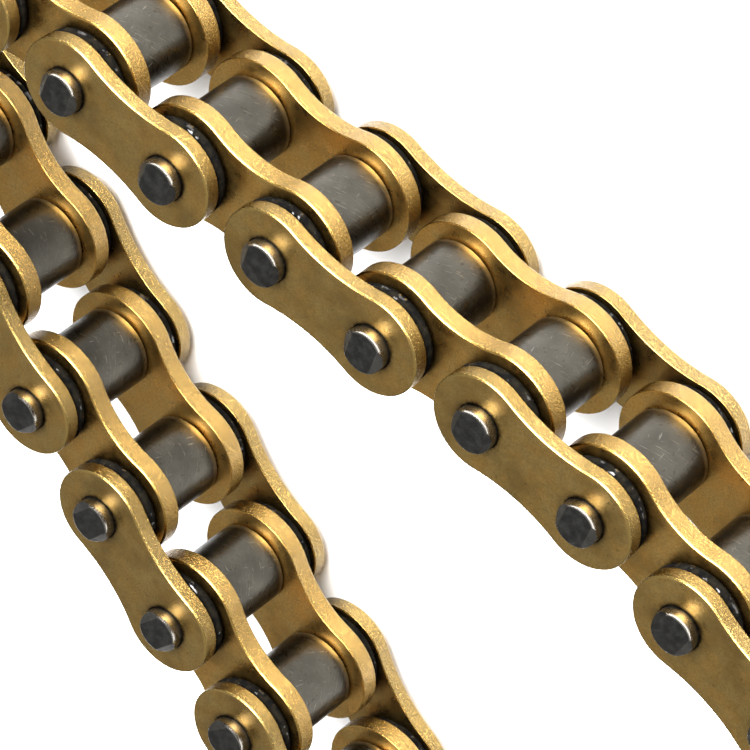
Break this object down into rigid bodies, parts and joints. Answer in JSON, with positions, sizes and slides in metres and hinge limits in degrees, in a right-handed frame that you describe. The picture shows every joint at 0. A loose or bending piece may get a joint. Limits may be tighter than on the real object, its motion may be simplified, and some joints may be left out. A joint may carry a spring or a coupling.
{
  "type": "motorcycle drive chain",
  "caption": "Sealed motorcycle roller chain lying on its side in a folded length: gold-coloured plates, dark pins, steel rollers on bushings and black rubber seal rings.",
  "frame": {"origin": "on the floor, under the middle of the chain's outline", "axes": "+Z along the pins, up from the floor; +X along the straight run towards its free end; +Y to the side that the straight run lies on"},
  "size_m": [0.1494, 0.0848, 0.0212],
  "materials": {
    "outer_plate": "gold-coloured plating, brushed, with fine scratches and darker stains",
    "inner_plate": "gold-coloured plating, brushed, warmer between the plates",
    "pin": "dark blued steel with staked ends",
    "bushing": "ground steel, oiled",
    "roller": "grey steel with fine tumbling scratches",
    "seal": "black nitrile rubber, greasy and glossy"
  },
  "bodies": {
    "inner_link_01": {"inner_link_01": "inner_plate"},
    "outer_link_01": {"outer_link_01": "outer_plate"},
    "inner_link_02": {"inner_link_02": "inner_plate", "seal_04_top": "seal", "seal_04_bottom": "seal"},
    "outer_link_02": {"outer_link_02_top_plate": "outer_plate", "outer_link_02_bottom_plate": "outer_plate", "outer_link_02_first_pin": "pin", "outer_link_02_second_pin": "pin"},
    "inner_link_03": {"inner_link_03_top_plate": "inner_plate", "inner_link_03_bottom_plate": "inner_plate", "inner_link_03_first_bushing": "bushing", "inner_link_03_second_bushing": "bushing", "seal_05_top": "seal", "seal_05_bottom": "seal", "seal_06_top": "seal", "seal_06_bottom": "seal"},
    "outer_link_03": {"outer_link_03_top_plate": "outer_plate", "outer_link_03_bottom_plate": "outer_plate", "outer_link_03_first_pin": "pin", "outer_link_03_second_pin": "pin"},
    "inner_link_04": {"inner_link_04": "inner_plate", "seal_07_top": "seal", "seal_07_bottom": "seal"},
    "outer_link_04": {"outer_link_04": "outer_plate"},
    "inner_link_05": {"inner_link_05": "inner_plate"},
    "outer_link_05": {"outer_link_05": "outer_plate"},
    "inner_link_06": {"inner_link_06": "inner_plate"},
    "outer_link_06": {"outer_link_06": "outer_plate"},
    "inner_link_07": {"inner_link_07": "inner_plate"},
    "outer_link_07": {"outer_link_07": "outer_plate"},
    "inner_link_08": {"inner_link_08": "inner_plate"},
    "outer_link_08": {"outer_link_08": "outer_plate"},
    "inner_link_09": {"inner_link_09": "inner_plate"},
    "outer_link_09": {"outer_link_09": "outer_plate"},
    "inner_link_10": {"inner_link_10": "inner_plate"},
    "outer_link_10": {"outer_link_10": "outer_plate"},
    "inner_link_11": {"inner_link_11": "inner_plate"},
    "roller_01": {"roller_01": "roller"},
    "roller_02": {"roller_02": "roller"},
    "roller_03": {"roller_03": "roller"},
    "roller_04": {"roller_04": "roller"},
    "roller_05": {"roller_05": "roller"},
    "roller_06": {"roller_06": "roller"},
    "roller_07": {"roller_07": "roller"},
    "roller_08": {"roller_08": "roller"},
    "roller_09": {"roller_09": "roller"},
    "roller_10": {"roller_10": "roller"},
    "roller_11": {"roller_11": "roller"},
    "roller_12": {"roller_12": "roller"},
    "roller_13": {"roller_13": "roller"},
    "roller_14": {"roller_14": "roller"},
    "roller_15": {"roller_15": "roller"},
    "roller_16": {"roller_16": "roller"},
    "roller_17": {"roller_17": "roller"},
    "roller_18": {"roller_18": "roller"},
    "roller_19": {"roller_19": "roller"},
    "roller_20": {"roller_20": "roller"},
    "roller_21": {"roller_21": "roller"},
    "roller_22": {"roller_22": "roller"}
  },
  "joints": [
    {"name": "bend_12", "type": "hinge", "parent": "outer_link_06", "child": "inner_link_06", "pos_m": [-0.0688, 0.03005, 0.0106], "axis": [0, 0, -1], "range_deg": [-90, 5]},
    {"name": "bend_11", "type": "hinge", "parent": "inner_link_06", "child": "outer_link_05", "pos_m": [-0.05707, 0.03491, 0.0106], "axis": [0, 0, 1], "range_deg": [-25, 90]},
    {"name": "bend_10", "type": "hinge", "parent": "outer_link_05", "child": "inner_link_05", "pos_m": [-0.04462, 0.03237, 0.0106], "axis": [0, 0, -1], "range_deg": [-65, 30]},
    {"name": "bend_09", "type": "hinge", "parent": "inner_link_05", "child": "outer_link_04", "pos_m": [-0.03194, 0.03304, 0.0106], "axis": [0, 0, 1], "range_deg": [-30, 80]},
    {"name": "bend_08", "type": "hinge", "parent": "outer_link_04", "child": "inner_link_04", "pos_m": [-0.01924, 0.03304, 0.0106], "axis": [0, 0, -1], "range_deg": [-75, 35]},
    {"name": "bend_07", "type": "hinge", "parent": "inner_link_04", "child": "outer_link_03", "pos_m": [-0.00659, 0.03415, 0.0106], "axis": [0, 0, 1], "range_deg": [-45, 80]},
    {"name": "bend_06", "type": "hinge", "parent": "outer_link_03", "child": "inner_link_03", "pos_m": [0.00609, 0.03481, 0.0106], "axis": [0, 0, -1], "range_deg": [-75, 50]},
    {"name": "bend_05", "type": "hinge", "parent": "inner_link_03", "child": "outer_link_02", "pos_m": [0.01867, 0.03658, 0.0106], "axis": [0, 0, 1], "range_deg": [-70, 85]},
    {"name": "bend_04", "type": "hinge", "parent": "outer_link_02", "child": "inner_link_02", "pos_m": [0.03137, 0.03658, 0.0106], "axis": [0, 0, -1], "range_deg": [-90, 70]},
    {"name": "bend_03", "type": "hinge", "parent": "inner_link_02", "child": "outer_link_01", "pos_m": [0.04388, 0.03437, 0.0106], "axis": [0, 0, 1], "range_deg": [-80, 80]},
    {"name": "bend_02", "type": "hinge", "parent": "outer_link_01", "child": "inner_link_01", "pos_m": [0.05638, 0.03217, 0.0106], "axis": [0, 0, -1], "range_deg": [-80, 80]},
    {"name": "bend_13", "type": "hinge", "parent": "outer_link_06", "child": "inner_link_07", "pos_m": [-0.06803, 0.01737, 0.0106], "axis": [0, 0, 1], "range_deg": [-90, 25]},
    {"name": "bend_14", "type": "hinge", "parent": "inner_link_07", "child": "outer_link_07", "pos_m": [-0.05738, 0.01045, 0.0106], "axis": [0, 0, -1], "range_deg": [-25, 85]},
    {"name": "bend_15", "type": "hinge", "parent": "outer_link_07", "child": "inner_link_08", "pos_m": [-0.04596, 0.00489, 0.0106], "axis": [0, 0, 1], "range_deg": [-80, 30]},
    {"name": "bend_16", "type": "hinge", "parent": "inner_link_08", "child": "outer_link_08", "pos_m": [-0.03455, -0.00068, 0.0106], "axis": [0, 0, -1], "range_deg": [-40, 75]},
    {"name": "bend_17", "type": "hinge", "parent": "outer_link_08", "child": "inner_link_09", "pos_m": [-0.02333, -0.00664, 0.0106], "axis": [0, 0, 1], "range_deg": [-80, 50]},
    {"name": "bend_18", "type": "hinge", "parent": "inner_link_09", "child": "outer_link_09", "pos_m": [-0.01173, -0.01181, 0.0106], "axis": [0, 0, -1], "range_deg": [-70, 75]},
    {"name": "bend_19", "type": "hinge", "parent": "outer_link_09", "child": "inner_link_10", "pos_m": [-0.00041, -0.01758, 0.0106], "axis": [0, 0, 1], "range_deg": [-80, 75]},
    {"name": "bend_20", "type": "hinge", "parent": "inner_link_10", "child": "outer_link_10", "pos_m": [0.011, -0.02314, 0.0106], "axis": [0, 0, -1], "range_deg": [-80, 70]},
    {"name": "bend_21", "type": "hinge", "parent": "outer_link_10", "child": "inner_link_11", "pos_m": [0.02177, -0.02987, 0.0106], "axis": [0, 0, 1], "range_deg": [-80, 80]},
    {"name": "roller_spin_01", "type": "hinge", "parent": "inner_link_01", "child": "roller_01", "pos_m": [0.06889, 0.02996, 0.0106], "axis": [0, 0, 1], "continuous": true},
    {"name": "roller_spin_02", "type": "hinge", "parent": "inner_link_01", "child": "roller_02", "pos_m": [0.05638, 0.03217, 0.0106], "axis": [0, 0, 1], "continuous": true},
    {"name": "roller_spin_03", "type": "hinge", "parent": "inner_link_02", "child": "roller_03", "pos_m": [0.04388, 0.03437, 0.0106], "axis": [0, 0, 1], "continuous": true},
    {"name": "roller_spin_04", "type": "hinge", "parent": "inner_link_02", "child": "roller_04", "pos_m": [0.03137, 0.03658, 0.0106], "axis": [0, 0, 1], "continuous": true},
    {"name": "roller_spin_05", "type": "hinge", "parent": "inner_link_03", "child": "roller_05", "pos_m": [0.01867, 0.03658, 0.0106], "axis": [0, 0, 1], "continuous": true},
    {"name": "roller_spin_06", "type": "hinge", "parent": "inner_link_03", "child": "roller_06", "pos_m": [0.00609, 0.03481, 0.0106], "axis": [0, 0, 1], "continuous": true},
    {"name": "roller_spin_07", "type": "hinge", "parent": "inner_link_04", "child": "roller_07", "pos_m": [-0.00659, 0.03415, 0.0106], "axis": [0, 0, 1], "continuous": true},
    {"name": "roller_spin_08", "type": "hinge", "parent": "inner_link_04", "child": "roller_08", "pos_m": [-0.01924, 0.03304, 0.0106], "axis": [0, 0, 1], "continuous": true},
    {"name": "roller_spin_09", "type": "hinge", "parent": "inner_link_05", "child": "roller_09", "pos_m": [-0.03194, 0.03304, 0.0106], "axis": [0, 0, 1], "continuous": true},
    {"name": "roller_spin_10", "type": "hinge", "parent": "inner_link_05", "child": "roller_10", "pos_m": [-0.04462, 0.03237, 0.0106], "axis": [0, 0, 1], "continuous": true},
    {"name": "roller_spin_11", "type": "hinge", "parent": "inner_link_06", "child": "roller_11", "pos_m": [-0.05707, 0.03491, 0.0106], "axis": [0, 0, 1], "continuous": true},
    {"name": "roller_spin_12", "type": "hinge", "parent": "inner_link_06", "child": "roller_12", "pos_m": [-0.0688, 0.03005, 0.0106], "axis": [0, 0, 1], "continuous": true},
    {"name": "roller_spin_13", "type": "hinge", "parent": "inner_link_07", "child": "roller_13", "pos_m": [-0.06803, 0.01737, 0.0106], "axis": [0, 0, 1], "continuous": true},
    {"name": "roller_spin_14", "type": "hinge", "parent": "inner_link_07", "child": "roller_14", "pos_m": [-0.05738, 0.01045, 0.0106], "axis": [0, 0, 1], "continuous": true},
    {"name": "roller_spin_15", "type": "hinge", "parent": "inner_link_08", "child": "roller_15", "pos_m": [-0.04596, 0.00489, 0.0106], "axis": [0, 0, 1], "continuous": true},
    {"name": "roller_spin_16", "type": "hinge", "parent": "inner_link_08", "child": "roller_16", "pos_m": [-0.03455, -0.00068, 0.0106], "axis": [0, 0, 1], "continuous": true},
    {"name": "roller_spin_17", "type": "hinge", "parent": "inner_link_09", "child": "roller_17", "pos_m": [-0.02333, -0.00664, 0.0106], "axis": [0, 0, 1], "continuous": true},
    {"name": "roller_spin_18", "type": "hinge", "parent": "inner_link_09", "child": "roller_18", "pos_m": [-0.01173, -0.01181, 0.0106], "axis": [0, 0, 1], "continuous": true},
    {"name": "roller_spin_19", "type": "hinge", "parent": "inner_link_10", "child": "roller_19", "pos_m": [-0.00041, -0.01758, 0.0106], "axis": [0, 0, 1], "continuous": true},
    {"name": "roller_spin_20", "type": "hinge", "parent": "inner_link_10", "child": "roller_20", "pos_m": [0.011, -0.02314, 0.0106], "axis": [0, 0, 1], "continuous": true},
    {"name": "roller_spin_21", "type": "hinge", "parent": "inner_link_11", "child": "roller_21", "pos_m": [0.02177, -0.02987, 0.0106], "axis": [0, 0, 1], "continuous": true},
    {"name": "roller_spin_22", "type": "hinge", "parent": "inner_link_11", "child": "roller_22", "pos_m": [0.03254, -0.0366, 0.0106], "axis": [0, 0, 1], "continuous": true}
  ]
}
